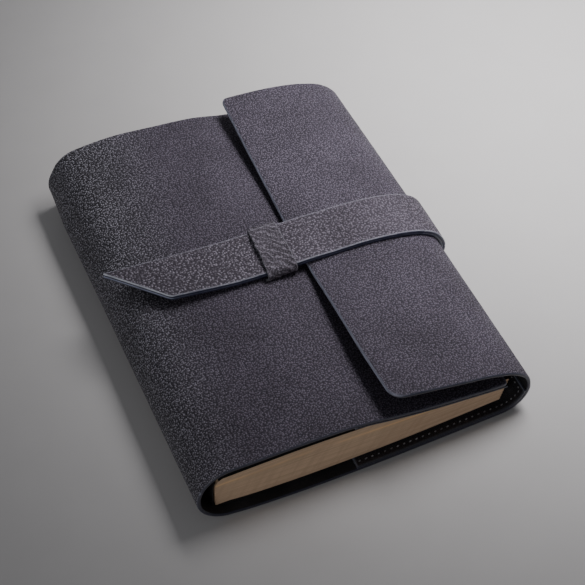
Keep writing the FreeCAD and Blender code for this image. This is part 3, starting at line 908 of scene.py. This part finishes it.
@lru_cache(maxsize=None)
def card_lines(y):
    """The front card's upper face at one place along the book."""
    held = []
    for i in range(9):
        s = 6.2 * mm + (front_mouth - 10 * mm) * i / 8
        along = on_hide(s + mm, y) - on_hide(s - mm, y)
        inward = Vector((-along.z, 0, along.x)).normalized()
        held.append(on_hide(s, y) + inward * (hide_t + card_slack))
    start_z = sewn_z + card_t
    lift = held[-1].z - start_z
    free = [Vector((sewn_x + 40 * mm, y, start_z + 0.62 * lift + 0.4 * mm)),
            Vector((sewn_x + 15 * mm, y, start_z + 1.9 * mm)),
            Vector((sewn_x, y, start_z + 0.3 * mm))]
    return measured(smooth_line(held + free, steps=6))


card_length = card_lines(0.0)[1][-1]


def on_card(s, y):
    return walk(card_lines(round(y, 5)), s / card_length)


book_cloth, tree, shader = new_material("black book cloth", 0.8)
at = object_place(tree)
threads = []
for direction in ("X", "Y"):
    wave = tree.nodes.new("ShaderNodeTexWave")
    wave.bands_direction = direction
    wave.inputs["Scale"].default_value = 700.0
    wave.inputs["Distortion"].default_value = 0.6
    tree.links.new(at, wave.inputs["Vector"])
    threads.append(wave.outputs["Fac"])
weave = times(tree, *threads)
tree.links.new(mix_colour(tree, weave, (0.010, 0.009, 0.010, 1), (0.035, 0.032, 0.034, 1)),
               shader.inputs["Base Color"])
bump(tree, shader, weave, 0.08 * mm)

front_card_sheet = cut_sheet(0.0, card_length, page_low.y, page_high.y, card_t,
                             step=2.0 * mm, edge_r=0.2 * mm)
front_card = bent_piece("front_card", front_card_sheet, on_card, [book_cloth] * 3)
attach(front_card, "front_cover")
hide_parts("notebook_front_cover")

back_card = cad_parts["notebook_back_cover"]
back_card.data.materials.clear()
back_card.data.materials.append(book_cloth)

# ---------- page block
# Eight sections of cream leaves, folded and sewn. The strap and the flap press the block thin
# towards the fore-edge, and each leaf's cut edge shows as a fine line along its sides. The
# uppermost leaf's top face is black, painted shade in the gap under the front card.
section_count = 8
leaves = 10                    # ridges drawn on each section's cut sides
block_lean = 4.0 * mm          # the upper leaves reach this much further to the fore-edge
ridge_out = 0.05 * mm          # every other ridge stands out this much,
ridge_stray = 0.12 * mm        # and each strays by up to this
fold_bulge = 0.35 * mm         # a section's fold and fore side are rounded this much
section_map_t = 2.4 * mm       # height of a section in the leaves' own map
# shares across the block, with its lowest and its highest leaf in mm above the back card
block_section = ((0.0, 0.0, 18.9), (0.1, 0.0, 19.2), (0.3, 0.0, 19.4), (0.62, 0.0, 17.4),
                 (1.0, 1.0, 15.2))


@lru_cache(maxsize=None)
def leaf_line(share):
    """Line across the block at a share of its height, from the sewn edge outwards."""
    low_x = sewn_x + 0.8 * mm * share + 3.8 * mm * share ** 10
    high_x = fore_x - block_lean * (1 - share)
    line = []
    for across, low, high in block_section:
        z = page_low.z + (low + share * (high - low)) * mm
        line.append(Vector((low_x + across * (high_x - low_x), 0, z)))
    return measured(smooth_line(line, steps=12))


strip_t = 0.5 * mm
strip_off = 0.2 * mm           # the strip's inner face lies this far off the folds
strip_low, strip_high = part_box("notebook_spine")
strip_length = strip_high.z - strip_low.z


def on_folds(s, y):
    """The cloth strip's outer face, glued down over the sewn folds of the sections."""
    place = walk(leaf_line(min(max(s / strip_length, 0.0), 1.0)), 0.0)
    return Vector((place.x - strip_t - strip_off, y, place.z))


strip_sheet = cut_sheet(0.02 * strip_length, 0.9 * strip_length, strip_low.y, strip_high.y,
                        strip_t, edge_r=0.15 * mm)
spine_strip = bent_piece("spine_strip", strip_sheet, on_folds, [book_cloth] * 3)
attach(spine_strip, "back_cover")
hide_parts("notebook_spine")

paper, tree, shader = new_material("cream leaves", 0.75)
on_leaves = map_place(tree, "leaves")


def streaks(along, up, turn=0.0):
    """Noise drawn out along or across the leaves, in streaks per metre."""
    spread = tree.nodes.new("ShaderNodeMapping")
    spread.inputs["Rotation"].default_value = (0, 0, turn)
    tree.links.new(on_leaves, spread.inputs["Vector"])
    pulled = tree.nodes.new("ShaderNodeVectorMath")
    pulled.operation = "MULTIPLY"
    pulled.inputs[1].default_value = (along, up, 1)
    tree.links.new(spread.outputs["Vector"], pulled.inputs[0])
    return noise_node(tree, pulled.outputs[0], 1.0, 2.0, 0.6).outputs["Fac"]


leaf_streaks = streaks(12.0, 2200.0)
saw_marks = streaks(330.0, 40.0, math.radians(28))
height_split = tree.nodes.new("ShaderNodeSeparateXYZ")
tree.links.new(on_leaves, height_split.inputs[0])
toned = mix_colour(tree, ramp(tree, leaf_streaks, 0.3, 0.7), (0.55, 0.385, 0.255, 1),
                   (0.74, 0.535, 0.365, 1))
toned = mix_colour(tree, times(tree, ramp(tree, saw_marks, 0.42, 0.68), 0.35),
                   toned, (0.50, 0.335, 0.215, 1))
# a golden band runs along the block, in mm of the leaves' own map, with a brighter line in it
for low, peak, high, share in ((12.8, 14.9, 17.6, 0.35), (14.3, 14.9, 15.5, 0.95)):
    golden = times(tree, ramp(tree, height_split.outputs["Y"], low * mm, peak * mm),
                   ramp(tree, height_split.outputs["Y"], high * mm, peak * mm))
    golden = times(tree, golden, ramp(tree, streaks(22.0, 120.0), 0.35, 0.55))
    toned = mix_colour(tree, times(tree, golden, share), toned, (0.90, 0.62, 0.33, 1))
tree.links.new(toned, shader.inputs["Base Color"])
bump(tree, shader, leaf_streaks, 0.08 * mm)

rows = leaves * 2
for index in range(section_count):
    bm = bmesh.new()
    bmesh.ops.create_grid(bm, x_segments=60, y_segments=rows, size=0.5)
    bmesh.ops.translate(bm, vec=(0.5, 0.5, 0), verts=bm.verts)
    thicken(bm, 1)
    leaf_map = bm.loops.layers.uv.new("leaves")
    for face in bm.faces:
        for loop in face.loops:
            across, up, end = loop.vert.co
            u = across * (fore_x - sewn_x) + end * page_high.y * 2
            loop[leaf_map].uv = (u, (index + up) * section_map_t)
    for v in bm.verts:
        across, up, end = v.co
        row = round(up * rows)
        stray = noise.noise(Vector((index * 7, row // 2, 3)))
        out = ridge_out * (row % 2) + ridge_stray * stray
        share = (index + up * 0.985 + 0.008) / section_count
        place = walk(leaf_line(round(share, 6)), across)
        bulge = fold_bulge * math.sin(math.pi * min(max(up, 0), 1))
        bow = tail_bow(place.x) * (1 - share)
        y = page_high.y + out if end > 0.5 else page_low.y - out - bow
        fore = (out + bulge) * (across > 0.999) + (fold_bulge - bulge) * (across < 0.001)
        v.co = Vector((place.x + fore, y, place.z))
    face_outwards(bm)
    # painted shade: the uppermost section's top face is black book cloth
    for face in bm.faces:
        face.material_index = index == section_count - 1 and face.normal.z > 0.8
    leaves_piece = finish_piece(f"leaves_{index + 1}", bm, [paper, book_cloth])
    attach(leaves_piece, "back_cover")
    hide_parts(f"page_section_{index + 1}")

# ---------- table, light and camera
# A plain pale table top. A soft light hangs over the flap, a weak one stands behind the head
# and one behind the spine, a wide one fills in from the front on the left, and the camera
# looks down from the tail side.
table_bm = bmesh.new()
bmesh.ops.create_grid(table_bm, x_segments=1, y_segments=1, size=3.0)
bmesh.ops.translate(table_bm, vec=(0, 0, -0.05 * mm), verts=table_bm.verts)
table_top, tree, shader = new_material("pale table", 0.6)
mottled = noise_node(tree, object_place(tree), 40.0, 4.0).outputs["Fac"]
tree.links.new(mix_colour(tree, mottled, (0.60, 0.59, 0.58, 1), (0.64, 0.63, 0.62, 1)),
               shader.inputs["Base Color"])
table = finish_piece("table", table_bm, [table_top])


def soft_light(name, place, aim, size, watts, colour, spread):
    """An area light in metres, aimed at a place, with its spread in degrees."""
    light = bpy.data.lights.new(name, "AREA")
    light.shape = "RECTANGLE"
    light.size, light.size_y = size
    light.energy = watts
    light.color = colour
    light.spread = math.radians(spread)
    lamp = bpy.data.objects.new(name, light)
    lamp.location = place
    lamp.rotation_euler = (Vector(aim) - Vector(place)).to_track_quat("-Z", "Y").to_euler()
    bpy.context.scene.collection.objects.link(lamp)


soft_light("window", (0.28, 0.10, 0.46), (0.22, 0.10, 0.03), (0.34, 0.30), 1.12,
           (1.0, 0.98, 1.0), 78)
soft_light("rim", (-0.60, 0.50, 0.35), (0, 0, 0.03), (0.3, 0.6), 0.14, (0.90, 0.94, 1.0), 120)
soft_light("back", (0.20, 0.95, 0.36), (0, 0, 0.03), (0.9, 0.12), 0.12, (1.0, 0.98, 1.0), 100)
soft_light("fill", (-0.62, -0.66, 0.30), (0, 0, 0.02), (0.6, 0.4), 0.85, (1.0, 0.98, 0.97), 150)
world = bpy.data.worlds.new("studio")
world.use_nodes = True
background = world.node_tree.nodes["Background"]
background.inputs["Color"].default_value = (0.9, 0.92, 1.0, 1)
background.inputs["Strength"].default_value = 0.085
bpy.context.scene.world = world

camera_mm = 755.62             # from the camera to the place that it looks at
turn, rise, roll = (math.radians(a) for a in (-20.928, 49.664, -2.475))
back_way = Vector((math.sin(turn) * math.cos(rise), -math.cos(turn) * math.cos(rise),
                   math.sin(rise)))
level = (-back_way).cross(Vector((0, 0, 1))).normalized()
upright = level.cross(-back_way)
right_way = level * math.cos(roll) + upright * math.sin(roll)
up_way = upright * math.cos(roll) - level * math.sin(roll)
camera = bpy.data.objects.new("camera", bpy.data.cameras.new("camera"))
camera.data.lens = 92.85
camera.data.clip_start = 0.05
look_at = Vector((3.415, -7.44, 10.0)) * mm
camera.matrix_world = (Matrix.Translation(look_at + back_way * camera_mm * mm) @
                       Matrix((right_way, up_way, back_way)).transposed().to_4x4())
bpy.context.scene.collection.objects.link(camera)
bpy.context.scene.camera = camera
